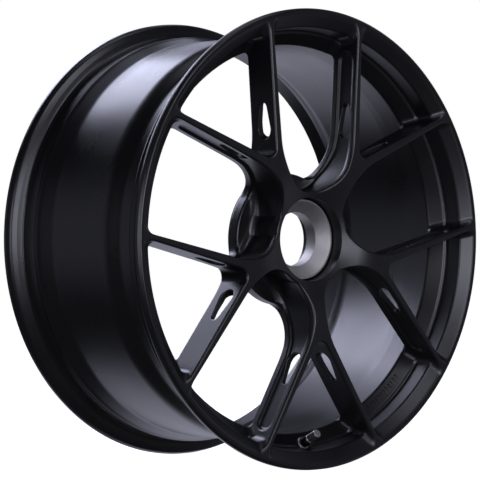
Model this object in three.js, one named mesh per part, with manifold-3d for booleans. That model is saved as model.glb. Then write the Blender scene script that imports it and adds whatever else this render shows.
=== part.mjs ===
// A 20 x 9 inch forged centre-lock racing wheel: five Y-spokes in a deep rim, a bare
// conical seat for the single wheel nut, five drive-pin bushes in the hub pad, and a
// clamp-in tyre valve. Millimetres, +Z up, wheel axis along Y, outer face towards -Y,
// origin at the wheel's centre, halfway between the two rim flanges.
import * as THREE from 'three';
import { mergeVertices } from 'three/addons/utils/BufferGeometryUtils.js';
import Module from 'manifold-3d';

const wasm = await Module();
wasm.setup();

// Driving dimensions of the wheel.
const ARMS = 5;
const ARM_PHASE = -88.83;        // degrees, where the arm that holds the valve points
const FLANGE_RADIUS = 271.5;     // 20 inch bead seat plus a 17.3 mm flange
const HALF_WIDTH = 131;          // from the centre plane to either flange's outer face
const BEAD_RADIUS = 253.6;
const BEAD_EDGE = 114.3;         // half of the 9 inch rim width
const WELL_RADIUS = 236.3;
const BARREL_RADIUS = 245;
const BARREL_WALL = 4.8;
const RIM_SIDES = 50;

// Driving dimensions of the hub.
const PAD_FACE = -55;            // mounting face, 55 mm outboard of the centre plane
const PAD_RADIUS = 79;
const PAD_THICKNESS = 17;
const NECK_RADIUS = 55.5;
const SPIGOT_RADIUS = 42;
const SEAT_RADIUS = 45.2;        // large end of the nut seat
const LAND_RADIUS = 32.5;        // small end of the nut seat, where the hub nose passes
const HUB_SIDES = 40;

const PIN_COUNT = 5;
const PIN_CIRCLE = 61;
const PIN_RADIUS = 7.5;
const BUSH_RADIUS = 10;
const BUSH_DEPTH = 13;

// Driving dimensions of the valve, which leans from the wheel's axis towards the hub.
const VALVE_TILT = THREE.MathUtils.degToRad(28);
const VALVE_RADIUS = 243;        // where the valve's axis meets its inner spot face
const VALVE_PLANE = -95;
const VALVE_WALL = 10;           // rim thickness clamped between seal and washer
const VALVE_HOLE = 5.6;
const STEM_BORE = 2.6;
const CAP_ACROSS_FLATS = 9.6;

const GAP = 0.3;                 // running gap between pieces that touch on the real wheel

const black = { color: 0x0b0b0e, roughness: 0.42, metalness: 0.15 };
const barrelBlack = { color: 0x1c1d22, roughness: 0.5, metalness: 0.15 };
const bareAluminium = { color: 0xb4b3ae, roughness: 0.32, metalness: 1 };
const steel = { color: 0x8b8c90, roughness: 0.35, metalness: 1 };
const brass = { color: 0xb59a55, roughness: 0.35, metalness: 1 };
const nickel = { color: 0xcfd0d4, roughness: 0.22, metalness: 1 };
const anodised = { color: 0x0d0d10, roughness: 0.4, metalness: 0.5 };
const rubber = { color: 0x101010, roughness: 0.85, metalness: 0 };

// ---------------------------------------------------------------- shape helpers

function signedVolume(geometry) {
  const p = geometry.attributes.position;
  const index = geometry.index;
  const [a, b, c] = [new THREE.Vector3(), new THREE.Vector3(), new THREE.Vector3()];
  let volume = 0;
  for (let i = 0; i < index.count; i += 3) {
    a.fromBufferAttribute(p, index.getX(i));
    b.fromBufferAttribute(p, index.getX(i + 1));
    c.fromBufferAttribute(p, index.getX(i + 2));
    volume += a.dot(b.cross(c)) / 6;
  }
  return volume;
}

// Keeps position only, joins shared vertices and makes the faces point outwards.
function closed(geometry) {
  const bare = new THREE.BufferGeometry();
  bare.setAttribute('position', geometry.attributes.position.clone());
  if (geometry.index) bare.setIndex(geometry.index.clone());
  const merged = mergeVertices(bare, 1e-3);
  const kept = [];
  const old = merged.index.array;
  for (let i = 0; i < old.length; i += 3) {
    const [a, b, c] = [old[i], old[i + 1], old[i + 2]];
    if (a !== b && b !== c && c !== a) kept.push(a, b, c);
  }
  merged.setIndex(kept);
  if (signedVolume(merged) < 0) {
    for (let i = 0; i < kept.length; i += 3) [kept[i], kept[i + 1]] = [kept[i + 1], kept[i]];
    merged.setIndex(kept);
  }
  return merged;
}

function solid(geometry) {
  const g = closed(geometry);
  return new wasm.Manifold(new wasm.Mesh({
    numProp: 3,
    vertProperties: new Float32Array(g.attributes.position.array),
    triVerts: new Uint32Array(g.index.array),
  }));
}

function geometryOf(manifold) {
  const mesh = manifold.getMesh();
  const g = new THREE.BufferGeometry();
  g.setAttribute('position', new THREE.BufferAttribute(new Float32Array(mesh.vertProperties), 3));
  g.setIndex(new THREE.BufferAttribute(new Uint32Array(mesh.triVerts), 1));
  return g;
}

// Turns a closed outline of [radius, height] pairs round the Y axis.
function turned(outline, sides) {
  const points = [...outline, outline[0]].map(([r, y]) => new THREE.Vector2(r, y));
  return closed(new THREE.LatheGeometry(points, sides));
}

// Extrudes a shape drawn in the wheel's face plane from one Y to another.
function cutThrough(shape, fromY, toY) {
  const g = new THREE.ExtrudeGeometry(shape, { depth: toY - fromY, bevelEnabled: false, curveSegments: 8 });
  return g.rotateX(Math.PI / 2).translate(0, toY, 0);
}

function piece(name, geometry, look) {
  const mesh = new THREE.Mesh(geometry, new THREE.MeshStandardMaterial(look));
  mesh.name = name;
  return mesh;
}

const polar = (r, degrees) => {
  const a = THREE.MathUtils.degToRad(degrees);
  return new THREE.Vector2(r * Math.cos(a), r * Math.sin(a));
};

// ---------------------------------------------------------------- rim barrel

// Inner surface of the front rim, from the lip face back to the barrel: a dished band,
// a wall, a shallow groove and the conical shelf that the spoke tips stand on.
const SHELF = [
  [263.4, -129.6], [250, -120], [248.6, -106], [247.9, -100.5], [246.3, -97.6],
  [244, -98.3], [231.5, -84],
];

const flange = (side) => [
  [265.6, side * HALF_WIDTH], [269.4, side * 130.2], [FLANGE_RADIUS, side * 127.2],
  [FLANGE_RADIUS, side * 124.2], [268.7, side * 117.2], [262, side * BEAD_EDGE],
  [255.5, side * 112.4], [BEAD_RADIUS - 0.4, side * 107.5], [BEAD_RADIUS - 1.6, side * 94],
  [BEAD_RADIUS - 0.6, side * 91],
];

const rimOutline = [
  ...flange(-1),
  [251.8, -88], [238.5, -76], [WELL_RADIUS, -72], [WELL_RADIUS + 0.5, -52],
  [BARREL_RADIUS, -33], [BARREL_RADIUS, 64], [251.4, 86],
  ...flange(1).reverse(),
  [261.5, HALF_WIDTH - 0.6], [252, 118.5], [245.5, 112],
  [248.4, 92], [247.4, 88], [BARREL_RADIUS - BARREL_WALL, 70], [BARREL_RADIUS - BARREL_WALL, -33],
  [WELL_RADIUS - BARREL_WALL, -52], [WELL_RADIUS - BARREL_WALL - 0.6, -80],
  ...SHELF.slice().reverse(),
];

// The valve's own frame: its Y axis runs out of the rim towards the cap.
const valveFrame = new THREE.Matrix4()
  .makeTranslation(VALVE_RADIUS, VALVE_PLANE, 0)
  .multiply(new THREE.Matrix4().makeRotationZ(Math.PI - VALVE_TILT));

function valveBore() {
  const spot = 9.5;
  return solid(turned([
    [0, -30], [spot, -30], [spot, -VALVE_WALL], [VALVE_HOLE, -VALVE_WALL],
    [VALVE_HOLE, 0], [spot, 0], [spot, 12], [0, 12],
  ], 24).applyMatrix4(valveFrame));
}

const rimBarrel = piece(
  'rim_barrel',
  geometryOf(solid(turned(rimOutline, RIM_SIDES)).subtract(valveBore())),
  barrelBlack,
);

// ---------------------------------------------------------------- hub centre

const hubOutline = [
  [50, -115.6], [NECK_RADIUS + 1, -118.2], [NECK_RADIUS + 1, -110], [NECK_RADIUS, -107],
  [NECK_RADIUS, -84], [62, PAD_FACE - PAD_THICKNESS - 2], [PAD_RADIUS - 2, PAD_FACE - PAD_THICKNESS],
  [PAD_RADIUS, PAD_FACE - PAD_THICKNESS + 2], [PAD_RADIUS, PAD_FACE], [SPIGOT_RADIUS, PAD_FACE],
  [SPIGOT_RADIUS, -70.7], [40, -71], [40, -91.5], [48, -91.5], [49.6, -101.8], [49.6, -115.2],
];

function pinHole(index) {
  const place = polar(PIN_CIRCLE, index * 360 / PIN_COUNT);
  const hole = new THREE.CylinderGeometry(BUSH_RADIUS + GAP, BUSH_RADIUS + GAP, 2 * BUSH_DEPTH, 16);
  return solid(hole.translate(place.x, PAD_FACE, -place.y));
}

let hub = solid(turned(hubOutline, HUB_SIDES));
for (let i = 0; i < PIN_COUNT; i += 1) hub = hub.subtract(pinHole(i));
const hubCentre = piece('hub_centre', geometryOf(hub), black);

// Pressed-in ring with the bare 45-degree seat for the wheel nut.
const nutSeat = piece('nut_seat_ring', turned([
  [SEAT_RADIUS, -100.2], [LAND_RADIUS, -87.5], [LAND_RADIUS, -71.4], [39.7, -71.4],
  [39.7, -91.8], [47.6, -91.8], [47.6, -100.2],
], HUB_SIDES), bareAluminium);

function driveBush(index) {
  const place = polar(PIN_CIRCLE, index * 360 / PIN_COUNT);
  const sleeve = turned([
    [PIN_RADIUS + 1, PAD_FACE - GAP], [BUSH_RADIUS, PAD_FACE - GAP],
    [BUSH_RADIUS, PAD_FACE - BUSH_DEPTH + GAP], [PIN_RADIUS, PAD_FACE - BUSH_DEPTH + GAP],
    [PIN_RADIUS, PAD_FACE - 1.3],
  ], 16);
  return piece(`drive_pin_bush_${index + 1}`, sleeve.translate(place.x, 0, -place.y), steel);
}

// ---------------------------------------------------------------- Y-spokes

// Half-width of one arm, in degrees from its centre line, at each radius. The outer
// edge runs from the hub's scalloped rim to the spoke tip, and the inner edge is the
// small window between the two limbs.
const OUTER_EDGE = [
  [57.3, 36], [56.8, 28], [60.7, 20], [65.8, 14], [72, 10.4], [79, 8.6], [97, 6.6],
  [108, 7.3], [138, 11.3], [165, 14.7], [195, 17.3], [240, 20], [254, 21.5], [264, 24.5],
];
const INNER_EDGE = [
  [121.5, 0], [122.6, 2.6], [127, 4.2], [135, 6], [150, 9], [167, 11.5], [195, 14.7],
  [240, 18.2], [254, 18.2], [262, 16.4], [268, 13], [274, 6], [274, 0],
];

// Axial section of an arm: the flat face, dished towards the hub, the foot that follows
// the rim's shelf, and the back edge, which drops to the hub pad.
const armSection = [
  [57, -118.6], [63, -120.8], [78, -128], [95, -131], [262.9, -131],
  ...SHELF.map(([r, y]) => [r - GAP, y - 0.1]),
  [205, -87], [165, -87.5], [135, -88], [117, -83], [104, -77], [95, -70.5], [88, -63], [81, -55],
  [PAD_RADIUS + GAP, -55], [PAD_RADIUS + GAP, PAD_FACE - PAD_THICKNESS + 1.6],
  [PAD_RADIUS - 1.6, PAD_FACE - PAD_THICKNESS - GAP], [62, PAD_FACE - PAD_THICKNESS - 2.5],
  [NECK_RADIUS + GAP, -84.3], [NECK_RADIUS + GAP, -107], [57, -110],
];

// The milled side channel leaves a thin face plate in front and a flange at the back.
const channelSection = [
  [62, -112], [80, -119], [95, -122.5], [238, -123], [236, -98], [135, -97.5], [104, -88],
  [80, -76], [62, -78],
];
const CHANNEL_END = 234;
const WEB_INSET = 3.2;           // how far the channel floor lies inside the arm's edge

function armShape() {
  const up = OUTER_EDGE.map(([r, a]) => polar(r, a));
  const tip = [24, 16, 8, 0, -8, -16, -24].map((a) => polar(FLANGE_RADIUS + 3, a));
  const down = OUTER_EDGE.map(([r, a]) => polar(r, -a)).reverse();
  return new THREE.Shape([...up, ...tip, ...down]);
}

function windowShape() {
  const up = INNER_EDGE.map(([r, a]) => polar(r, a));
  const down = INNER_EDGE.slice(1, -1).map(([r, a]) => polar(r, -a)).reverse();
  return new THREE.Shape([...up, ...down]);
}

function channelShape(side) {
  const edge = OUTER_EDGE.filter(([r]) => r > 62 && r < CHANNEL_END);
  const floor = edge.map(([r, a]) => {
    const inset = THREE.MathUtils.radToDeg(WEB_INSET / r);
    return polar(r, side * (a - inset));
  });
  const outside = edge.map(([r, a]) => polar(r, side * (a + 8))).reverse();
  return new THREE.Shape([...floor, ...outside]);
}

// Lightening slot through a limb's web, drawn across the limb and cut along its width.
const SLOT = { from: 139, to: 165, angle: 10.9, lean: 23, front: -121, back: -101 };

function slotCutter(side) {
  const half = (SLOT.back - SLOT.front) / 2;
  const outline = new THREE.Shape();
  outline.absarc(SLOT.from, 0, half, Math.PI / 2, Math.PI * 1.5);
  outline.absarc(SLOT.to, 0, half, -Math.PI / 2, Math.PI / 2);
  const g = new THREE.ExtrudeGeometry(outline, { depth: 40, bevelEnabled: false, curveSegments: 4 });
  const middle = (SLOT.from + SLOT.to) / 2;
  const centre = polar(middle, side * SLOT.angle);
  g.translate(-middle, 0, -20);
  g.rotateY(THREE.MathUtils.degToRad(side * SLOT.lean));
  return solid(g.translate(centre.x, (SLOT.front + SLOT.back) / 2, -centre.y));
}

function armSolid() {
  let arm = solid(cutThrough(armShape(), -140, -50)).intersect(solid(turned(armSection, RIM_SIDES)));
  arm = arm.subtract(solid(cutThrough(windowShape(), -140, -50)));
  const milling = solid(turned(channelSection, RIM_SIDES / 2));
  for (const side of [-1, 1]) {
    const sweep = solid(cutThrough(channelShape(side), -130, -60)).intersect(milling);
    arm = arm.subtract(sweep).subtract(slotCutter(side));
  }
  return arm;
}

const armGeometry = geometryOf(armSolid());

function spoke(index) {
  const mesh = piece(`y_spoke_${index + 1}`, armGeometry.clone(), black);
  mesh.rotation.y = -index * 2 * Math.PI / ARMS;
  return mesh;
}

// ---------------------------------------------------------------- tyre valve

function valveParts() {
  const group = new THREE.Group();
  group.applyMatrix4(valveFrame);
  const under = -VALVE_WALL;
  const ring = (name, outline, look, sides = 16) => group.add(piece(name, turned(outline, sides), look));

  ring('valve_stem', [
    [STEM_BORE, under - 6], [8, under - 6], [8, under - 2.6], [4, under - 2.6], [4, 14],
    [3.85, 15], [3.85, 26], [3.3, 26.6], [STEM_BORE, 26.6],
  ], brass);
  ring('valve_seal', [
    [4.3, under - 2.3], [8, under - 2.3], [8, under - GAP], [5.3, under - GAP], [5.3, -0.2], [4.3, -0.2],
  ], rubber);
  ring('valve_washer', [[4.4, GAP], [7.6, GAP], [7.6, 1.5], [4.4, 1.5]], anodised);
  ring('valve_nut', [[4.3, 1.8], [6.2, 1.8], [6.2, 12.2], [5.6, 12.8], [4.3, 12.8]], anodised);

  ring('valve_core_body', [
    [1.75, 12], [2.3, 12], [2.3, 15], [2, 15.3], [2, 17.2], [2.3, 17.5], [2.3, 25], [1.75, 25],
  ], brass);
  ring('valve_core_gasket', [[2.05, 15.5], [2.5, 15.5], [2.5, 17], [2.05, 17]], rubber);
  ring('valve_core_pin', [
    [0, 9.2], [1.5, 9.2], [1.5, 10], [0.75, 10.4], [0.75, 25.4], [0.5, 25.8], [0, 25.8],
  ], steel, 12);
  ring('valve_core_seal', [[0.9, 10.6], [2.1, 10.6], [2.1, 11.7], [0.9, 11.7]], rubber, 12);
  ring('valve_core_spring', [[1, 13], [1.5, 13], [1.5, 23], [1, 23]], steel, 12);

  // Hexagonal cap, screwed over the stem's thread, with a rubber disc inside its end.
  const across = CAP_ACROSS_FLATS / Math.sqrt(3);
  const hexagon = solid(new THREE.CylinderGeometry(across, across, 15.8, 6).translate(0, 21.1, 0));
  const chamfer = solid(turned([[0, 13.2], [6, 13.2], [6, 27.8], [4.7, 29], [0, 29]], 24));
  const inside = solid(turned([[0, 13], [4.2, 13], [4.2, 28], [0, 28]], 20));
  group.add(piece('valve_cap', geometryOf(hexagon.intersect(chamfer).subtract(inside)), nickel));
  ring('valve_cap_gasket', [[1.2, 26.9], [3.8, 26.9], [3.8, 27.7], [1.2, 27.7]], rubber);
  return group;
}

// ---------------------------------------------------------------- assembly

const wheel = new THREE.Group();
wheel.rotation.y = -THREE.MathUtils.degToRad(ARM_PHASE);
wheel.add(rimBarrel, hubCentre, nutSeat);
for (let i = 0; i < PIN_COUNT; i += 1) wheel.add(driveBush(i));
for (let i = 0; i < ARMS; i += 1) wheel.add(spoke(i));
wheel.add(valveParts());

export default wheel;
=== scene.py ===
import math

import bmesh
import bpy
import numpy as np
from mathutils import Matrix, Vector


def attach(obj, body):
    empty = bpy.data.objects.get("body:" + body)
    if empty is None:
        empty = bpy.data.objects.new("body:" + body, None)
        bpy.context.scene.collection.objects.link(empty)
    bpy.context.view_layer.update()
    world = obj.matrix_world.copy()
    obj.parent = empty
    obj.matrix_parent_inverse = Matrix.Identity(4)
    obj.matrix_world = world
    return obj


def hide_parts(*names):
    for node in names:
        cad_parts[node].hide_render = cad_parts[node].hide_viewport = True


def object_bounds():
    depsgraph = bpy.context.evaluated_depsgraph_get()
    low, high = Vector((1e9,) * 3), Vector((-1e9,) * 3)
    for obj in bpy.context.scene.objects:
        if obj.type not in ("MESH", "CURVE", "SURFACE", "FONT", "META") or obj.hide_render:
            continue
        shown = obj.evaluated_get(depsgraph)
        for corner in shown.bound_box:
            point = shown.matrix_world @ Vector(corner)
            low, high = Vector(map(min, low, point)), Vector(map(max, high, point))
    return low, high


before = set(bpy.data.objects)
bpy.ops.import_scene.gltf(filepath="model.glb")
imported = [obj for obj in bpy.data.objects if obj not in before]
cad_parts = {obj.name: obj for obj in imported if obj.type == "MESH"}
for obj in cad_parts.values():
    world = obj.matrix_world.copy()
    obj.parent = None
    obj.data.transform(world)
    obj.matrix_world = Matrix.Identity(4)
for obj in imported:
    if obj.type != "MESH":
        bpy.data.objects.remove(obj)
cad_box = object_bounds()
scene = bpy.context.scene
scene.view_settings.view_transform = "Standard"

# ------------------------------------------------------------------ studio
# The wheel stands on a pale floor in a white room. Two close softboxes behind it light the
# barrel, two in front and one at the left light the faces, and a weak one hangs overhead.

FLANGE_RADIUS = (cad_box[1].z - cad_box[0].z) / 2
HALF_WIDTH = (cad_box[1].y - cad_box[0].y) / 2
STUDIO_WHITE = "#ffffff"
FLOOR_GREY = "#d9dade"


def linear(code):
    """An sRGB hex colour as the linear values that a shader wants."""
    parts = [int(code[i:i + 2], 16) / 255 for i in (1, 3, 5)]
    return tuple(p / 12.92 if p <= 0.04045 else ((p + 0.055) / 1.055) ** 2.4 for p in parts) + (1.0,)


def add(tree, kind, settings=None, links=None):
    """Adds a node. Settings name its properties, or its inputs, which links join to outputs."""
    made = tree.nodes.new("ShaderNode" + kind)
    for key, value in (settings or {}).items():
        if isinstance(key, str) and hasattr(made, key):
            setattr(made, key, value)
        else:
            made.inputs[key].default_value = value
    for key, output in (links or {}).items():
        tree.links.new(output, made.inputs[key])
    return made


def softbox(name, centre, target, size, watts, colour="#ecedff"):
    """A rectangular light that faces a point, with its size in metres."""
    lamp = bpy.data.lights.new(name, "AREA")
    lamp.shape = "RECTANGLE"
    lamp.size, lamp.size_y = size
    lamp.energy = watts
    lamp.color = linear(colour)[:3]
    light = bpy.data.objects.new(name, lamp)
    light.location = centre
    light.rotation_euler = (Vector(target) - Vector(centre)).to_track_quat("-Z", "Y").to_euler()
    scene.collection.objects.link(light)


softbox("back softbox", (-0.05, 0.75, 0.54), (0.04, 0, 0), (0.48, 0.56), 5.2, "#e1e4ff")
softbox("back right softbox", (0.36, 0.75, 0.58), (0.1, 0, 0), (0.34, 0.5), 0.6, "#e1e4ff")
softbox("overhead softbox", (0.3, 0.1, 2.6), (0.1, 0, 0), (1.6, 1.2), 6)
softbox("front top softbox", (-0.3, -2.0, 2.1), (0, 0, 0), (1.6, 0.9), 16)
softbox("front softbox", (-0.75, -3.4, 0.35), (0, 0, 0), (2.2, 1.3), 48)
softbox("left softbox", (-2.75, -1.2, 0.2), (0, 0, 0), (1.9, 1.4), 19)

room = bpy.data.worlds.new("white room")
scene.world = room
room.use_nodes = True
room.node_tree.nodes.clear()
seen = add(room.node_tree, "LightPath")
white = add(room.node_tree, "Background", {"Color": linear(STUDIO_WHITE), "Strength": 1.0})
# Reflections see a dark room with soft glows: low behind the wheel, to the right of its
# front, low at the left and at the right. Each has a direction, an edge, a core and a level.
ROOM_DARK = 0.03
ROOM_GLOWS = [
    ((0.33, 0.75, -0.57), 0.83, 0.985, 1.35),
    ((0.657, -0.754, 0.0), 0.6, 0.95, 0.16),
    ((-0.75, 0.66, 0.05), 0.88, 0.985, 0.4),
    ((1.0, 0.0, 0.0), 0.6, 0.92, 0.38),
]
toward = add(room.node_tree, "TexCoord").outputs["Generated"]
level = None
for way, edge, core, bright in ROOM_GLOWS:
    aim = add(room.node_tree, "VectorMath", {"operation": "DOT_PRODUCT", 1: way}, {0: toward})
    glow = {"interpolation_type": "SMOOTHSTEP", "From Min": edge, "From Max": core}
    glow.update({"To Min": ROOM_DARK, "To Max": bright})
    lobe = add(room.node_tree, "MapRange", glow, {"Value": aim.outputs["Value"]}).outputs[0]
    if level:
        lobe = add(room.node_tree, "Math", {"operation": "MAXIMUM"}, {0: level, 1: lobe}).outputs[0]
    level = lobe
dim = add(room.node_tree, "Background", {"Color": linear("#c9cbe0")}, {"Strength": level})
either = {0: seen.outputs["Is Camera Ray"], 1: dim.outputs[0], 2: white.outputs[0]}
mixed = add(room.node_tree, "MixShader", links=either)
add(room.node_tree, "OutputWorld", links={"Surface": mixed.outputs[0]})

floor_mesh = bpy.data.meshes.new("floor")
FLOOR_REACH = 6.0
corners = [(-FLOOR_REACH, -FLOOR_REACH), (FLOOR_REACH, -FLOOR_REACH)]
corners += [(FLOOR_REACH, FLOOR_REACH), (-FLOOR_REACH, FLOOR_REACH)]
floor_mesh.from_pydata([(x, y, -FLANGE_RADIUS) for x, y in corners], [], [(0, 1, 2, 3)])
floor = bpy.data.objects.new("floor", floor_mesh)
scene.collection.objects.link(floor)
floor.visible_glossy = False
painted = bpy.data.materials.new("matt white floor paint")
painted.use_nodes = True
shader = painted.node_tree.nodes["Principled BSDF"]
shader.inputs["Base Color"].default_value = linear(FLOOR_GREY)
shader.inputs["Roughness"].default_value = 0.9
shader.inputs["Emission Color"].default_value = linear(STUDIO_WHITE)
shader.inputs["Emission Strength"].default_value = 1.0
floor_mesh.materials.append(painted)

CAMERA_TURN = 41.125             # degrees from the wheel's axle, level with its centre
CAMERA_DISTANCE = 2.5905
LENS = 158.82
SENSOR = 36
SHIFT = (-0.01517, -0.0016)
camera = bpy.data.objects.new("camera", bpy.data.cameras.new("camera"))
turn = math.radians(CAMERA_TURN)
camera.location = (-CAMERA_DISTANCE * math.sin(turn), -CAMERA_DISTANCE * math.cos(turn), 0)
camera.rotation_euler = (math.radians(90), 0, -turn)
camera.data.sensor_width = SENSOR
camera.data.lens = LENS
camera.data.shift_x = SHIFT[0]
camera.data.shift_y = SHIFT[1]
scene.collection.objects.link(camera)
scene.camera = camera

# ------------------------------------------------------------------ forged rim
# The barrel and both flanges of the one-piece aluminium forging, turned on a lathe and
# then powder coated. The inner side of the front lip is part of the milled arms below.

MM = 0.001
ARM_PHASE = -88.83               # degrees round the axle to the arm that carries the valve
SEAM_RADIUS = 265.0              # where rim and spokes meet on the lip face
SEAM_PLANE = -56.0               # and on the barrel's inner wall
SEAM_BORE = 231.4                # inner radius there
RIM_STEPS = 360
LIP = -HALF_WIDTH / MM


def arc(centre, radius, start, end, count):
    """Points [radius, y] along an arc between two angles in degrees."""
    angles = [math.radians(start + (end - start) * i / count) for i in range(count + 1)]
    return [(centre[0] + radius * math.cos(a), centre[1] + radius * math.sin(a)) for a in angles]


def smooth_corners(outline, radii, steps=5):
    """Rounds each corner of an open outline that has a radius, with an arc of a few steps."""
    points = [outline[0]]
    for before, corner, after, radius in zip(outline, outline[1:], outline[2:], radii):
        if not radius:
            points.append(corner)
            continue
        here = Vector(corner)
        back, on = (Vector(before) - here), (Vector(after) - here)
        half = back.angle(on) / 2
        run = min(radius / math.tan(half), back.length * 0.49, on.length * 0.49)
        start, end = here + back.normalized() * run, here + on.normalized() * run
        for i in range(steps + 1):
            t = i / steps
            points.append(tuple(start * (1 - t) ** 2 + here * 2 * t * (1 - t) + end * t * t))
    return points + [outline[-1]]


# Corners of the rim's section as [radius, y, rounding]: flange, outside, inside.
flange = [(262, 114.3, 5), (268.9, 117.4, 6), (271.5, 123.5, 3), (271.5, 127.6, 2.5), (268.6, 131, 2.5)]
front_lip = [(r, -y, q) for r, y, q in reversed(flange)]
exterior = [
    (255.2, -112.2, 4), (253.0, -106, 6), (252.0, -94, 5), (253.0, -90, 4), (250.5, -86.5, 4),
    (238.5, -76.2, 8), (236.3, -70, 8), (236.8, -52, 20), (245, -33, 40), (245, 64, 30),
    (250.6, 83, 10), (252.8, 88.5, 4), (252.2, 93.5, 4), (253.2, 107, 6), (255.2, 112.2, 4),
]
rear = [
    (262.5, 131, 1.5), (261.0, 130.0, 2), (252.4, 118.8, 7), (245.5, 112, 1.6), (248.4, 92.3, 3),
    (247.0, 85.5, 6), (241.4, 72, 5), (240.2, 66, 6), (231.9, -44, 30),
]
corners = front_lip + exterior + flange + rear
outline = [(SEAM_RADIUS, LIP)] + [(r, y) for r, y, q in corners] + [(SEAM_BORE, SEAM_PLANE)]
outline = smooth_corners(outline, [q for r, y, q in corners])
# Inside the metal, the line on which the turned rim ends and the milled arms begin.
RING_CORE = [
    (233.6, SEAM_PLANE), (234.2, -78), (245.5, -92.5), (250.6, -100), (251.6, -110), (258, -120.5),
    (SEAM_RADIUS, -126),
]


SHARP = 32                       # degrees from which an edge of a turned piece stays crisp
AXLE = 0.001                     # near enough to the axis for a solid turned piece


def turned(name, outline, steps, place=Matrix.Identity(4), sharp=SHARP):
    """Turns a closed outline of [radius, y] in mm round the Y axis into a closed mesh."""
    count = len(outline)
    angle = np.arange(steps) * 2 * math.pi / steps
    ring = np.array(outline, float) * MM
    points = np.stack([np.outer(np.cos(angle), ring[:, 0]), np.broadcast_to(ring[:, 1], (steps, count)),
                       np.outer(np.sin(angle), ring[:, 0])], -1).reshape(-1, 3)
    faces = []
    for i in range(steps):
        a, b = i * count, (i + 1) % steps * count
        faces += [(a + j, a + (j + 1) % count, b + (j + 1) % count, b + j) for j in range(count)]
    mesh = bpy.data.meshes.new(name)
    mesh.from_pydata(points.tolist(), [], faces)
    tidy = bmesh.new()
    tidy.from_mesh(mesh)
    bmesh.ops.remove_doubles(tidy, verts=tidy.verts, dist=1e-7)
    bmesh.ops.recalc_face_normals(tidy, faces=tidy.faces)
    tidy.to_mesh(mesh)
    tidy.free()
    mesh.transform(place)
    mesh.shade_smooth()
    mesh.set_sharp_from_angle(angle=math.radians(sharp))
    piece = bpy.data.objects.new(name, mesh)
    scene.collection.objects.link(piece)
    return piece


rim = turned("forged_rim", outline + RING_CORE, RIM_STEPS)

# ------------------------------------------------------------------ hub core
# The middle of the same forging: the counterbore that takes the centre lock nut, the
# spigot bore and the flat pad that bears on the hub. Turned, so it is made as a lathe part.

HUB_SEAM = 50.0                  # where the turned hub and the milled arms meet
PAD_RADIUS = 79.0
PAD_FACE = -55.0
PIN_CIRCLE = 61.0
PIN_HOLE = 10.3
PIN_FLOOR = -68.0
HUB_STEPS = 240
ARMS = 5
ARM_STEP = 360 / ARMS

hub_outline = [
    (HUB_SEAM, -115.6), (49.6, -115.2), (49.6, -101.8), (48, -91.5), (40, -91.5), (40, -71),
    (42, -70.7), (42, -56), (43, PAD_FACE), (78.2, PAD_FACE), (PAD_RADIUS, SEAM_PLANE),
    (HUB_SEAM, SEAM_PLANE),
]
hub_rounds = [0.4, 2.5, 0.5, 0.5, 0.4, 0.3, 0.3, 0.3, 0.3, 0]
hub = turned("forged_hub_core", smooth_corners(hub_outline, hub_rounds, 4), HUB_STEPS)


def rod(radius, start, end, place, steps=96):
    """A plain rod between two heights, used only to drill with."""
    outline = [(AXLE, start), (radius, start), (radius, end), (AXLE, end)]
    return turned("drill", outline, steps, place)


def drilled(piece, drills):
    """Cuts the rods out of a piece and leaves a plain mesh."""
    for drill in drills:
        cut = piece.modifiers.new("drill", "BOOLEAN")
        cut.operation = "DIFFERENCE"
        cut.solver = "EXACT"
        cut.object = drill
    bpy.context.view_layer.update()
    mesh = bpy.data.meshes.new_from_object(piece.evaluated_get(bpy.context.evaluated_depsgraph_get()))
    piece.modifiers.clear()
    piece.data = mesh
    mesh.shade_smooth()
    mesh.set_sharp_from_angle(angle=math.radians(SHARP))
    for drill in drills:
        bpy.data.objects.remove(drill)


def round_axle(degrees):
    """Turns a place at angle 0 to that many degrees round the axle, from +X towards +Z."""
    return Matrix.Rotation(-math.radians(degrees), 4, "Y")


at_pin = Matrix.Translation((PIN_CIRCLE * MM, 0, 0))
pin_places = [round_axle(ARM_PHASE + ARM_STEP * i) @ at_pin for i in range(ARMS)]
drilled(hub, [rod(PIN_HOLE, PAD_FACE - 5, PAD_FACE + 5, place) for place in pin_places])

# ------------------------------------------------------------------ five forked arms
# Each arm leaves the hub as a broad dished blade and forks to the rim. It is forged solid
# and milled: windows, side channels, teardrop and valve seat, with ball cutter corners.
# The shape is a signed distance, so each cutter radius is a blend between two surfaces.

FACE = -131.0                    # flat face of the limbs
CONE_SLOPE = 0.43                # and the dish that falls from it to the hub
CONE_FOOT = (HUB_SEAM, -115.6)
FACE_BLEND = 7.0
FACE_BEVEL = (1.7, 0.7)          # legs of the bevel on the face, and how far its edges are softened
CHANNEL_BEVEL = (0.8, 0.6)
SWEEP = (149.0, 4.0, 92.0)       # radius, height and size of the arc that hollows the back
BACK = -88.0
BACK_EDGE = 2.2
CUTTER = 9.0                     # ball cutter that leaves the inside corners
CHANNEL_CUTTER = 4.5
SCALLOP = (109.25, 53.7)         # window between arms: a wide arc at the hub,
EASE = 40.0                      # an easing arc
LIMB_EDGE = (135.3, 27.0, 31.42)     # and a straight edge to the rim
FORK = (132.1, 10.6, 32.95)      # window between limbs: a small arc, then a straight edge
CHANNEL_DEPTH = 3.2
CHANNEL_END = (221.5, -110.6, 12.4)  # radius, height and size of the round end of a side channel
TEARDROP = (146.0, 10.2, 168.5, 5.6, -111.0)     # two radii, the round at each, and the height
TEARDROP_EDGE = 1.0
LIMB_CORE = 5.0                  # the teardrops stop this far from the middle of an arm
VALVE_SEAT = (243.0, -95.0)      # radius and height of the drilled seat
VALVE_LEAN = 28.0                # degrees that the valve leans towards the hub
VALVE_FACE = 9.5
VALVE_HOLE = 5.6

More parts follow.
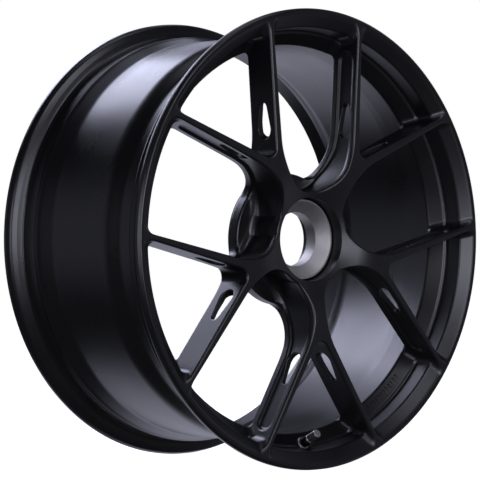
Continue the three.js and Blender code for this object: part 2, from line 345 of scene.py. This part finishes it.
# Sections of [radius, y]: inner side of the rim, side channel, pad, neck, and the rim's metal.
ring_inner = [
    (277.9, -140), (251.3, -120.93), (250.45, -120.1), (249.95, -119), (248.6, -106), (248.2, -102.6),
    (247.4, -100), (246.2, -98.7), (245.2, -98.35), (244.3, -98), (243.5, -97.5), (233, -85.7),
    (231.9, -84.2), (231.3, -82.6), (231.2, -81), (231.2, -72), (231.4, -50), (233.6, -50),
]
ring_section = ring_inner + RING_CORE[1:-1] + [(265.2, -126), (290, -126), (290, -140)]
channel_section = (
    [(40, -108.5), (62, -112.5), (80, -119), (92, -122.3), (100, -123)]
    + arc(CHANNEL_END[:2], CHANNEL_END[2], -90, 90, 12)
    + [(140, -98.2), (122, -94.5), (104, -87), (92, -80.5), (80, -75), (60, -68), (40, -68)]
)
pad_section = [(0, -72.2), (74, -71.8)] + arc((76.6, -69.6), 2.4, -90, 0, 4) + [(PAD_RADIUS, -30), (0, -30)]
neck_section = [
    (0, -140), (57.2, -140), (57.2, -111), (56.6, -109), (55.4, -107.6), (54.9, -106),
    (54.9, -60), (0, -60),
]
rim_limit = [(0, -140), (290, -140), (290, -126), (265.2, -126)] + RING_CORE[-2:0:-1]
rim_limit += [(233.6, -50), (0, -50)]


def fillet(a, b, radius):
    """Joins two bodies of metal with a hollow round of that radius between them."""
    near = np.hypot(np.maximum(radius - a, 0), np.maximum(radius - b, 0))
    return np.maximum(radius, np.minimum(a, b)) - near


def rounded(a, b, radius):
    """Keeps what both bodies share, with that radius on the edge where they meet."""
    near = np.hypot(np.maximum(radius + a, 0), np.maximum(radius + b, 0))
    return np.minimum(-radius, np.maximum(a, b)) + near


def bevelled(a, b, leg, soft):
    """Keeps what both bodies share, with a bevel on the edge whose own edges are softened."""
    flat = (a + b + leg) * math.sqrt(0.5)
    sharp = np.maximum(a, b)
    return np.maximum(sharp, flat) + np.maximum(soft - np.abs(sharp - flat), 0) ** 2 / (4 * soft)


def section(outline, r, y):
    """Distance to a closed outline of [radius, y] that is swept round the axle, negative inside it."""
    nearest = np.full(np.broadcast(r, y).shape, 1e9)
    inside = np.zeros(nearest.shape, bool)
    for (r0, y0), (r1, y1) in zip(outline, outline[1:] + outline[:1]):
        er, ey = r1 - r0, y1 - y0
        along = np.clip(((r - r0) * er + (y - y0) * ey) / (er * er + ey * ey), 0, 1)
        nearest = np.minimum(nearest, np.hypot(r - r0 - along * er, y - y0 - along * ey))
        if ey:
            inside ^= ((y0 > y) != (y1 > y)) & (r < r0 + (y - y0) * er / ey)
    return np.where(inside, -nearest, nearest)


def window_edge(x, z):
    """Distance to the edge of the window between two arms, negative in the metal."""
    half = math.pi / ARMS
    cx, cz = SCALLOP[0] * math.cos(half), SCALLOP[0] * math.sin(half)
    ux, uz = math.cos(math.radians(LIMB_EDGE[2])), math.sin(math.radians(LIMB_EDGE[2]))
    straight = (z - LIMB_EDGE[1]) * ux - (x - LIMB_EDGE[0]) * uz
    gap = (cz - LIMB_EDGE[1]) * ux - (cx - LIMB_EDGE[0]) * uz
    tilt = math.atan2(ux, -uz) - math.acos((EASE + SCALLOP[1] - gap) / EASE)
    bx, bz = cx + EASE * math.cos(tilt), cz + EASE * math.sin(tilt)
    near_arc = SCALLOP[1] - np.hypot(x - cx, z - cz)
    far_arc = SCALLOP[1] + EASE - np.hypot(x - bx, z - bz)
    on_far = (z - bz) * math.cos(tilt) - (x - bx) * math.sin(tilt) < 0
    return np.where((x - bx) * ux + (z - bz) * uz > 0, straight, np.where(on_far, far_arc, near_arc))


def teardrop_slot(x, y, z):
    """Distance to the teardrop hole through each limb, negative in the hole."""
    r0, big, r1, small, middle = TEARDROP
    lean = (big - small) / (r1 - r0)
    rise = math.sqrt(1 - lean * lean)
    u, v = np.hypot(x, z) - r0, np.abs(y - middle)
    along = rise * u - lean * v
    outer_end = np.hypot(u - r1 + r0, v) - small
    sides = v * rise + u * lean - big
    slot = np.where(along > rise * (r1 - r0), outer_end, sides)
    slot = np.where(along < 0, np.hypot(u, v) - big, slot)
    return np.maximum(slot, LIMB_CORE - np.abs(z))


def valve_cut(x, y, z):
    """Distance to the drilled valve hole and the flat seat round it, negative in the cut."""
    lean = math.radians(VALVE_LEAN)
    dx, dy = x - VALVE_SEAT[0], y - VALVE_SEAT[1]
    height = -dx * math.sin(lean) - dy * math.cos(lean)
    across = np.hypot(dx * math.cos(lean) - dy * math.sin(lean), z)
    return np.minimum(across - VALVE_HOLE, np.maximum(across - VALVE_FACE, -height))


def arm_field(x, y, z):
    """Distance in mm to the surface of one arm along +X, negative in the metal."""
    r = np.hypot(x, z)
    edge = window_edge(x, np.abs(z))
    turn = math.radians(FORK[2])
    limb = np.where((x - FORK[0]) * math.cos(turn) + np.abs(z) * math.sin(turn) > 0,
                    FORK[1] - (np.abs(z) * math.cos(turn) - (x - FORK[0]) * math.sin(turn)),
                    FORK[1] - np.hypot(x - FORK[0], z))
    milled = rounded(-(edge + CHANNEL_DEPTH), section(channel_section, r, y), CHANNEL_CUTTER)
    star = bevelled(edge, -milled, *CHANNEL_BEVEL)
    star = np.minimum(star, section(neck_section, r, y))
    star = np.maximum(fillet(star, section(pad_section, r, y), CUTTER), limb)
    hollow = np.where(r < SWEEP[0], SWEEP[2] - np.hypot(r - SWEEP[0], y - SWEEP[1]), y - BACK)
    star = rounded(star, hollow, BACK_EDGE)
    metal = np.maximum(fillet(star, section(ring_section, r, y), CUTTER), section(rim_limit, r, y))
    plane = FACE - y
    cone = (CONE_FOOT[1] - CONE_SLOPE * (r - CONE_FOOT[0]) - y) / math.hypot(1, CONE_SLOPE)
    blend = np.maximum(FACE_BLEND - np.abs(plane - cone), 0) ** 2 / (4 * FACE_BLEND)
    face = np.maximum(plane, cone) + blend
    metal = bevelled(metal, face, *FACE_BEVEL)
    metal = rounded(metal, -teardrop_slot(x, y, z), TEARDROP_EDGE)
    return np.maximum(metal, np.minimum(PIN_HOLE - np.hypot(x - PIN_CIRCLE, z), y - PIN_FLOOR))


def valve_arm_field(x, y, z):
    """The same for the arm that the valve goes through."""
    return rounded(arm_field(x, y, z), -valve_cut(x, y, z), 0.5)


CELL = 1.42                      # size of the facets, fine enough for the smallest bevel
SECTOR_STEPS = 96
TOP = -132.4


def slope(field, points, reach=0.35):
    """The direction in which the distance grows, which is the surface's normal."""
    grown = np.empty_like(points)
    for axis in range(3):
        lean = np.zeros(3)
        lean[axis] = reach
        grown[:, axis] = (field(*(points + lean).T) - field(*(points - lean).T)) / (2 * reach)
    return grown


def skin(field):
    """Meshes a field between the seams, and returns points in mm, quads and normals."""
    radii = np.linspace(HUB_SEAM, SEAM_RADIUS, round((SEAM_RADIUS - HUB_SEAM) / CELL) + 1)
    half = math.pi / ARMS
    turns = (np.arange(SECTOR_STEPS + 1) - 0.5) * half / (SECTOR_STEPS - 0.5)
    heights = np.linspace(TOP, SEAM_PLANE, round((SEAM_PLANE - TOP) / CELL) + 1)
    r, t, y = radii[:, None, None], turns[None, :, None], heights[None, None, :]
    value = field(r * np.cos(t), y, r * np.sin(t))
    # outer layers of no thickness close the piece where it meets its neighbours
    value = np.pad(value, ((1, 1), (0, 1), (0, 1)), constant_values=1.0)
    grid = [np.concatenate([radii[:1], radii, radii[-1:]]), np.append(turns, half)]
    grid.append(np.append(heights, heights[-1]))
    metal = value < 0
    shape = np.array(value.shape) - 1
    full = sum(metal[a:a + shape[0], b:b + shape[1], c:c + shape[2]].astype(np.int8)
               for a in (0, 1) for b in (0, 1) for c in (0, 1))
    mixed = (full > 0) & (full < 8)
    cells = np.argwhere(mixed)
    index = np.full(shape, -1)
    index[mixed] = np.arange(len(cells))
    total, hits = np.zeros((len(cells), 3)), np.zeros(len(cells))
    quads = []
    for axis in range(3):
        others = [a for a in range(3) if a != axis]
        for p, q in ((0, 0), (0, 1), (1, 0), (1, 1)):
            low = cells.copy()
            low[:, others] += (p, q)
            high = low.copy()
            high[:, axis] += 1
            a, b = value[tuple(low.T)], value[tuple(high.T)]
            cross = (a < 0) != (b < 0)
            share = np.where(cross, a / np.where(cross, a - b, 1), 0)
            place = np.stack([grid[k][low[:, k]] for k in range(3)], 1)
            place[:, axis] += share * (grid[axis][high[:, axis]] - grid[axis][low[:, axis]])
            total += place * cross[:, None]
            hits += cross
        below, above = [slice(None)] * 3, [slice(None)] * 3
        below[axis], above[axis] = slice(0, -1), slice(1, None)
        a, b = metal[tuple(below)], metal[tuple(above)]
        for rising in (False, True):
            edges = np.argwhere((b & ~a) if rising else (a & ~b))
            inner = np.all((edges[:, others] > 0) & (edges[:, others] < shape[others]), 1)
            edges = edges[inner]
            ring = []
            for step in ((1, 1), (0, 1), (0, 0), (1, 0)):
                cell = edges.copy()
                cell[:, others] -= step
                ring.append(index[tuple(cell.T)])
            quad = np.stack(ring, 1)
            quads.append(quad if rising != (axis == 1) else quad[:, ::-1])
    quads = np.concatenate(quads)
    polar = total / hits[:, None]
    # each point slides onto the surface, and stays on the seams that it touches
    held = np.stack([(cells[:, 0] == 0) | (cells[:, 0] == shape[0] - 1),
                     (cells[:, 1] == 0) | (cells[:, 1] == shape[1] - 1), cells[:, 2] == shape[2] - 1], 1)
    layers = held.sum(1) - (cells[:, 1] == 0)
    flat = (layers > 0) & (full[mixed] == 8 >> layers)
    polar[cells[:, 1] == 0, 1] = 0
    free = ~flat
    for _ in range(4):
        part = polar[free]
        points = np.stack([part[:, 0] * np.cos(part[:, 1]), part[:, 2], part[:, 0] * np.sin(part[:, 1])], 1)
        grown = slope(field, points)
        out = np.stack([np.cos(part[:, 1]), np.zeros(len(part)), np.sin(part[:, 1])], 1)
        side = np.stack([-out[:, 2], np.zeros(len(part)), out[:, 0]], 1)
        pull = np.stack([(grown * out).sum(1), (grown * side).sum(1), grown[:, 1]], 1) * ~held[free]
        reach = np.clip(field(*points.T) / np.maximum((pull ** 2).sum(1), 0.09), -0.8, 0.8)
        move = pull * reach[:, None]
        move[:, 1] /= part[:, 0]
        polar[free] = part - move
    out = np.stack([np.cos(polar[:, 1]), np.zeros(len(polar)), np.sin(polar[:, 1])], 1)
    points = out * polar[:, :1]
    points[:, 1] = polar[:, 2]
    normals = slope(field, points)
    sideways = np.where(cells[flat, :1] == 0, -out[flat], out[flat])
    normals[flat] = np.where(held[flat, 2:3], [[0, 1, 0]], sideways)
    normals /= np.maximum(np.linalg.norm(normals, axis=1, keepdims=True), 1e-6)
    # the other half of the arm is its mirror image
    middle = cells[:, 1] == 0
    twin = np.where(middle, np.arange(len(cells)), len(cells) + np.cumsum(~middle) - 1)
    mirror = np.array([1, 1, -1])
    points = np.concatenate([points, points[~middle] * mirror])
    normals = np.concatenate([normals, normals[~middle] * mirror])
    return points, np.concatenate([quads, twin[quads][:, ::-1]]), normals


def spun(points, degrees):
    """Points turned round the axle."""
    a = math.radians(degrees)
    x, y, z = points.T
    return np.stack([x * math.cos(a) - z * math.sin(a), y, x * math.sin(a) + z * math.cos(a)], 1)


def quad_piece(name, points, quads, normals):
    """A closed mesh of quads that is shaded with its own normals."""
    mesh = bpy.data.meshes.new(name)
    mesh.vertices.add(len(points))
    mesh.vertices.foreach_set("co", points.astype(np.float32).ravel())
    mesh.loops.add(quads.size)
    mesh.loops.foreach_set("vertex_index", quads.astype(np.int32).ravel())
    mesh.polygons.add(len(quads))
    mesh.polygons.foreach_set("loop_start", np.arange(0, quads.size, 4, dtype=np.int32))
    mesh.update(calc_edges=True)
    mesh.validate()
    mesh.shade_smooth()
    mesh.normals_split_custom_set_from_vertices(normals.tolist())
    piece = bpy.data.objects.new(name, mesh)
    scene.collection.objects.link(piece)
    return piece


plain_arm, valve_arm = skin(arm_field), skin(valve_arm_field)
arms = []
for i in range(ARMS):
    points, quads, normals = plain_arm if i else valve_arm
    place = ARM_PHASE + ARM_STEP * i
    arms.append(quad_piece(f"spoke_arm_{i + 1}", spun(points, place) * MM, quads, spun(normals, place)))

# ------------------------------------------------------------------ nut seat ring
# A separate ring of bare aluminium pressed into the counterbore, with the 45 degree
# cone that centres the wheel nut. It is turned, and the tool marks are left to show.

def turned_ring(name, outline, radii, steps, place=Matrix.Identity(4), corner_steps=4):
    """Turns a closed outline, whose last point is its first, with its corners rounded."""
    return turned(name, smooth_corners(outline, radii, corner_steps)[:-1], steps, place)


seat_outline = [
    (46.4, -100.2), (45.2, -100.2), (32.5, -87.5), (32.5, -71.4), (39.7, -71.4), (39.7, -91.8),
    (47.6, -91.8), (47.6, -100.2), (46.4, -100.2),
]
seat = turned_ring("nut_seat_cone", seat_outline, [0.35, 0.6, 0.5, 0.3, 0.3, 0.3, 0.5], HUB_STEPS)


# ------------------------------------------------------------------ drive pin bushes
# Five hardened steel bushes pressed into the pad, which take the drive pins of the hub.
# One is turned, and a node tree sets the five round the axle.

def copies_tree():
    """Repeats a piece round the axle and gives the copies one material."""
    tree = bpy.data.node_groups.new("copies round the axle", "GeometryNodeTree")
    face = tree.interface
    face.new_socket("Geometry", in_out="INPUT", socket_type="NodeSocketGeometry")
    for name, kind in (("Count", "Int"), ("Start", "Float"), ("Step", "Float"), ("Material", "Material")):
        face.new_socket(name, in_out="INPUT", socket_type="NodeSocket" + kind)
    face.new_socket("Geometry", in_out="OUTPUT", socket_type="NodeSocketGeometry")

    def node(kind, **links):
        made = tree.nodes.new(kind)
        for key, output in links.items():
            tree.links.new(output, made.inputs[key.replace("_", " ")])
        return made

    given = node("NodeGroupInput")
    line = node("GeometryNodeMeshLine", Count=given.outputs["Count"])
    line.inputs["Offset"].default_value = (0, 0, 0)
    piece = given.outputs["Geometry"]
    placed = node("GeometryNodeInstanceOnPoints", Points=line.outputs[0], Instance=piece)
    turn = node("ShaderNodeMath")
    turn.operation = "MULTIPLY_ADD"
    index = node("GeometryNodeInputIndex").outputs[0]
    for at, output in enumerate((index, given.outputs["Step"], given.outputs["Start"])):
        tree.links.new(output, turn.inputs[at])
    back = node("ShaderNodeMath")
    back.operation = "MULTIPLY"
    back.inputs[1].default_value = -math.radians(1)
    tree.links.new(turn.outputs[0], back.inputs[0])
    about = node("ShaderNodeCombineXYZ", Y=back.outputs[0])
    spread = node("GeometryNodeRotateInstances", Instances=placed.outputs[0], Rotation=about.outputs[0])
    spread.inputs["Local Space"].default_value = False
    real = node("GeometryNodeRealizeInstances", Geometry=spread.outputs[0])
    dressed = node("GeometryNodeSetMaterial", Geometry=real.outputs[0], Material=given.outputs["Material"])
    node("NodeGroupOutput", Geometry=dressed.outputs[0])
    return tree


COPIES = copies_tree()


def copied(piece, material, count, start, step):
    """Replaces a piece at angle 0 with its copies round the axle, as a plain mesh."""
    grown = piece.modifiers.new("copies", "NODES")
    grown.node_group = COPIES
    sockets = {s.name: s.identifier for s in COPIES.interface.items_tree if s.in_out == "INPUT"}
    values = {"Count": count, "Start": float(start), "Step": float(step), "Material": material}
    for name, value in values.items():
        grown[sockets[name]] = value
    bpy.context.view_layer.update()
    mesh = bpy.data.meshes.new_from_object(piece.evaluated_get(bpy.context.evaluated_depsgraph_get()))
    piece.modifiers.clear()
    piece.data = mesh
    return piece


bush_outline = [
    (9, -55.3), (10, -55.3), (10, -67.7), (7.5, -67.7), (7.5, -56.3), (8.5, -55.3), (9, -55.3),
]
bushes = turned_ring("drive_pin_bushes", bush_outline, [0.3, 0.2, 0.2, 0.3, 0.3], 72, at_pin, 3)

# ------------------------------------------------------------------ raised marks
# Plain raised bars on the sloping wall of one window, milled in relief and coated with it.

MARK_LENGTH = 8.0
MARK_WIDTH = 1.7
MARK_RISE = 0.8
MARK_COUNT = 12
MARK_START = -60.0
MARK_STEP = 1.3
MARK_EDGE = 0.35
WALL_MIDDLE = (238.2, -91.5)
WALL_LEAN = math.atan2(11.8, 10.5)       # the wall's slope from the barrel to the front

mark_mesh = bpy.data.meshes.new("raised_marks")
mark_shape = bmesh.new()
bmesh.ops.create_cube(mark_shape, size=MM)
bmesh.ops.scale(mark_shape, vec=(MARK_LENGTH, 2 * MARK_RISE, MARK_WIDTH), verts=mark_shape.verts)
edges = mark_shape.edges[:]
bmesh.ops.bevel(mark_shape, geom=edges, offset=MARK_EDGE * MM, segments=3, affect="EDGES", profile=0.5)
mark_shape.to_mesh(mark_mesh)
mark_shape.free()
on_wall = Matrix.Translation((WALL_MIDDLE[0] * MM, WALL_MIDDLE[1] * MM, 0))
mark_mesh.transform(on_wall @ Matrix.Rotation(-WALL_LEAN, 4, "Z"))
mark_mesh.shade_smooth()
marks = bpy.data.objects.new("raised_marks", mark_mesh)
scene.collection.objects.link(marks)

# ------------------------------------------------------------------ tyre valve
# A clamp-in valve of turned metal through the drilled seat at the root of arm 1: a stem
# with a rubber seal behind the wheel, a washer and a black sleeve nut, and a hexagon cap.

lean = math.radians(VALVE_LEAN)
outward = round_axle(ARM_PHASE) @ Matrix.Translation((VALVE_SEAT[0] * MM, VALVE_SEAT[1] * MM, 0))
VALVE = outward @ Matrix(((math.cos(lean), -math.sin(lean), 0, 0), (-math.sin(lean), -math.cos(lean), 0, 0),
                          (0, 0, -1, 0), (0, 0, 0, 1)))
CAP_FLATS = 9.6
CAP_COLLAR = 14.5                # height above which the cap is a hexagon
CAP_SHARP = 20
PITCH = 0.79375                  # 32 threads to the inch
THREAD = (15.0, 26.0)            # heights between which the stem is threaded
THREAD_RADIUS = 3.85
THREAD_DEPTH = 0.42
VALVE_STEPS = 96


def thread_crests():
    """The threaded side of the stem's outline."""
    turns = int((THREAD[1] - THREAD[0]) / PITCH)
    root = THREAD_RADIUS - THREAD_DEPTH
    crests = []
    for i in range(turns):
        at = THREAD[0] + i * PITCH
        crests += [(root, at), (THREAD_RADIUS, at + PITCH * 0.4), (THREAD_RADIUS, at + PITCH * 0.6)]
    return crests + [(root, THREAD[0] + turns * PITCH)]


def helical(piece, inside):
    """Slides the threaded side along the valve with the angle, so that its crests climb."""
    back = VALVE.inverted()
    for point in piece.data.vertices:
        at = back @ point.co
        height, out = at.y / MM, math.hypot(at.x, at.z) / MM
        if out > inside and THREAD[0] < height < THREAD[1]:
            ease = min(1, (height - THREAD[0]) / PITCH, (THREAD[1] - height) / PITCH)
            at.y += MM * PITCH * ease * (math.atan2(at.z, at.x) / (2 * math.pi))
            point.co = VALVE @ at


rim_drills = [rod(VALVE_FACE, -60, -10, VALVE), rod(VALVE_HOLE, -30, 20, VALVE)]
drilled(rim, rim_drills)

stem_outline = [
    (2.6, -16), (7.7, -16), (8, -15.7), (8, -12.9), (7.7, -12.6), (4.3, -12.6), (4, -12.3), (4, 14),
    (THREAD_RADIUS, 14.8),
]
stem_outline += thread_crests() + [(THREAD_RADIUS, 26.2), (3.3, 26.6), (2.6, 26.6)]
stem = turned("valve_stem_tube", stem_outline, VALVE_STEPS, VALVE)
helical(stem, 3.2)

seal_outline = [
    (6, -12.3), (4.3, -12.3), (4.3, -0.2), (5.3, -0.2), (5.3, -10.3), (8, -10.3), (8, -12.3), (6, -12.3),
]
seal = turned_ring("valve_base_seal", seal_outline, [0, 0.2, 0.3, 0.5, 0.6, 0.6], VALVE_STEPS, VALVE)
washer_outline = [(6, 0.3), (7.6, 0.3), (7.6, 1.5), (4.4, 1.5), (4.4, 0.3), (6, 0.3)]
washer = turned_ring("valve_seat_washer", washer_outline, [0.25, 0.35, 0.2, 0.2], VALVE_STEPS, VALVE)
sleeve_outline = [
    (5, 1.8), (6.2, 1.8), (6.2, 9.8), (5.75, 10.1), (5.75, 10.9), (6.2, 11.2), (6.2, 12.2),
    (5.6, 12.8), (4.3, 12.8), (4.3, 1.8), (5, 1.8),
]
sleeve_rounds = [0.3, 0.15, 0.2, 0.2, 0.15, 0.2, 0.3, 0.2, 0.2]
sleeve = turned_ring("valve_sleeve_nut", sleeve_outline, sleeve_rounds, VALVE_STEPS, VALVE, 3)

cap_outline = [
    (AXLE, 28), (4.2, 28), (4.2, 13.6), (4.5, 13.2), (5.2, 13.2), (5.6, 13.8), (5.6, 14.6),
    (6.0, 15.4), (6.0, 27.5), (4.7, 29), (AXLE, 29),
]
cap_rounds = [0.3, 0.2, 0.2, 0.2, 0.3, 0.3, 0.2, 0.5, 0.5]
cap = turned("valve_hexagon_cap", smooth_corners(cap_outline, cap_rounds, 4), 180, VALVE, CAP_SHARP)
into_cap = VALVE.inverted()
for point in cap.data.vertices:
    at = into_cap @ point.co
    out, angle = math.hypot(at.x, at.z), math.degrees(math.atan2(at.z, at.x)) % 60 - 30
    reach = CAP_FLATS / 2 * MM / math.cos(math.radians(angle))
    if out > reach and at.y > CAP_COLLAR * MM:
        at.x, at.z = at.x * reach / out, at.z * reach / out
        point.co = VALVE @ at
cap.data.set_sharp_from_angle(angle=math.radians(20))

# ------------------------------------------------------------------ finishes
# Tone, grain and gloss of each finish, with its pattern in real millimetres.


def finish(name):
    """A new node material, and its tree, shader and place in millimetres."""
    made = bpy.data.materials.new(name)
    made.use_nodes = True
    tree = made.node_tree
    where = add(tree, "TexCoord").outputs["Object"]
    return made, tree, tree.nodes["Principled BSDF"], where


def noise(tree, where, size, detail=3.0, rough=0.55):
    """Noise whose lumps are about that many mm across."""
    settings = {"Scale": 1 / (size * MM), "Detail": detail, "Roughness": rough}
    return add(tree, "TexNoise", settings, {"Vector": where}).outputs["Fac"]


def ramp(tree, value, low, high, start=0.3, end=0.7):
    """Maps a value between two numbers onto two others."""
    settings = {"From Min": start, "From Max": end, "To Min": low, "To Max": high}
    return add(tree, "MapRange", settings, {"Value": value}).outputs[0]


def tint(tree, value, dark, light):
    """A colour between two others."""
    mix = add(tree, "Mix", {"data_type": "RGBA"})
    mix.inputs[6].default_value = linear(dark)
    mix.inputs[7].default_value = linear(light)
    tree.links.new(value, mix.inputs[0])
    return mix.outputs[2]


def bump(tree, height, depth, strength=1.0, under=None):
    """Raises the surface by a height of 0 to 1 times that many mm."""
    links = {"Height": height}
    if under:
        links["Normal"] = under
    return add(tree, "Bump", {"Strength": strength, "Distance": depth * MM}, links).outputs[0]


def powder(name, dark, light, gloss, grain):
    """Baked powder coat: a black film with a fine orange peel and slight change of gloss."""
    made, tree, shader, where = finish(name)
    cloud = noise(tree, where, 60, 4)
    peel = noise(tree, where, 1.1, 2)
    dust = noise(tree, where, 0.35, 1)
    tree.links.new(tint(tree, cloud, dark, light), shader.inputs["Base Color"])
    tree.links.new(ramp(tree, cloud, gloss - 0.025, gloss + 0.025), shader.inputs["Roughness"])
    coarse = bump(tree, peel, grain)
    tree.links.new(bump(tree, dust, grain * 0.35, 1.0, coarse), shader.inputs["Normal"])
    shader.inputs["IOR"].default_value = 1.55
    return made


# Satin black powder coat on the forged and milled front of the wheel.
satin_black = powder("satin black powder coat", "#070708", "#0c0c0e", 0.33, 0.012)
# The same coat on the turned barrel, a little smoother.
barrel_black = powder("barrel black powder coat", "#070708", "#0b0b0d", 0.29, 0.009)


def turned_metal(name, dark, light, gloss, feed, depth, place=None):
    """Bare turned metal: fine tool marks round the axle and a slight change of tone."""
    made, tree, shader, where = finish(name)
    if place is not None:
        back = place.inverted()
        turn_back = {"Location": back.translation, "Rotation": back.to_euler()}
        where = add(tree, "Mapping", turn_back, {"Vector": where}).outputs[0]
    parts = add(tree, "SeparateXYZ", links={0: where})
    out = add(tree, "Math", {"operation": "POWER", 1: 2.0}, {0: parts.outputs[0]})
    up = add(tree, "Math", {"operation": "POWER", 1: 2.0}, {0: parts.outputs[2]})
    both = add(tree, "Math", {"operation": "ADD"}, {0: out.outputs[0], 1: up.outputs[0]})
    radius = add(tree, "Math", {"operation": "SQRT"}, {0: both.outputs[0]})
    slant = add(tree, "Math", {"operation": "ADD"}, {0: radius.outputs[0], 1: parts.outputs[1]})
    spot = {"X": radius.outputs[0], "Y": parts.outputs[1], "Z": slant.outputs[0]}
    groove = add(tree, "CombineXYZ", links=spot)
    marks = noise(tree, groove.outputs[0], feed, 2)
    cloud = noise(tree, where, 14, 3)
    tree.links.new(tint(tree, cloud, dark, light), shader.inputs["Base Color"])
    tree.links.new(ramp(tree, marks, gloss - 0.05, gloss + 0.07), shader.inputs["Roughness"])
    tree.links.new(bump(tree, marks, depth), shader.inputs["Normal"])
    shader.inputs["Metallic"].default_value = 1.0
    return made


# Bare turned aluminium of the nut seat.
bare_aluminium = turned_metal("bare turned aluminium", "#adaba8", "#c2c0bd", 0.55, 0.5, 0.012)
# Hardened and ground steel of the bushes.
ground_steel = turned_metal("ground hardened steel", "#85868a", "#9c9da1", 0.25, 0.3, 0.004)
# Brass stem of the valve, dulled.
brass = turned_metal("turned valve brass", "#a58f5a", "#b8a26c", 0.32, 0.3, 0.004, VALVE)
# Bright nickel plate of the cap and washer.
nickel = turned_metal("bright nickel plate", "#c6c4be", "#dad8d2", 0.33, 0.4, 0.001, VALVE)
# Black anodised aluminium of the sleeve nut.
anodised = turned_metal("black anodised aluminium", "#1b1b1e", "#232327", 0.34, 0.3, 0.003, VALVE)


def rubber_finish():
    """Moulded black rubber: matt, with a fine bloom."""
    made, tree, shader, where = finish("moulded black rubber")
    bloom = noise(tree, where, 1.5, 4)
    tree.links.new(tint(tree, bloom, "#141414", "#222222"), shader.inputs["Base Color"])
    tree.links.new(ramp(tree, bloom, 0.55, 0.75), shader.inputs["Roughness"])
    tree.links.new(bump(tree, noise(tree, where, 0.3, 2), 0.01), shader.inputs["Normal"])
    return made


rubber = rubber_finish()
copied(bushes, ground_steel, ARMS, ARM_PHASE, ARM_STEP)
copied(marks, satin_black, MARK_COUNT, MARK_START, MARK_STEP)

# ------------------------------------------------------------------ the finished wheel
# Which finish each piece takes, which body it rides on and which solids it stands for.

pieces = [
    (rim, barrel_black, "barrel_coat", "wheel", ["rim_barrel"]),
    (hub, satin_black, "satin_black_coat", "wheel", ["hub_centre"]),
    (marks, satin_black, "satin_black_coat", "wheel", []),
    (seat, bare_aluminium, "bare_aluminium", "wheel", ["nut_seat_ring"]),
    (bushes, ground_steel, "bush_steel", "wheel", [f"drive_pin_bush_{i + 1}" for i in range(ARMS)]),
    (stem, brass, "valve_brass", "wheel", ["valve_stem"]),
    (seal, rubber, "seal_rubber", "wheel", ["valve_seal"]),
    (washer, nickel, "nickel_plate", "wheel", ["valve_washer"]),
    (sleeve, anodised, "black_anodised", "wheel", ["valve_nut"]),
    (cap, nickel, "nickel_plate", "cap", ["valve_cap"]),
]
for i, arm in enumerate(arms):
    pieces.append((arm, satin_black, "satin_black_coat", "wheel", [f"y_spoke_{i + 1}"]))
for piece, material, slot, body, nodes in pieces:
    piece.data.materials.clear()
    piece.data.materials.append(material)
    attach(piece, body)
    if nodes:
        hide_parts(*nodes)

kept = {
    "valve_core_body": brass, "valve_core_pin": brass, "valve_core_spring": ground_steel,
    "valve_core_gasket": rubber, "valve_core_seal": rubber, "valve_cap_gasket": rubber,
}
for name, material in kept.items():
    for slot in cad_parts[name].material_slots:
        slot.material = material
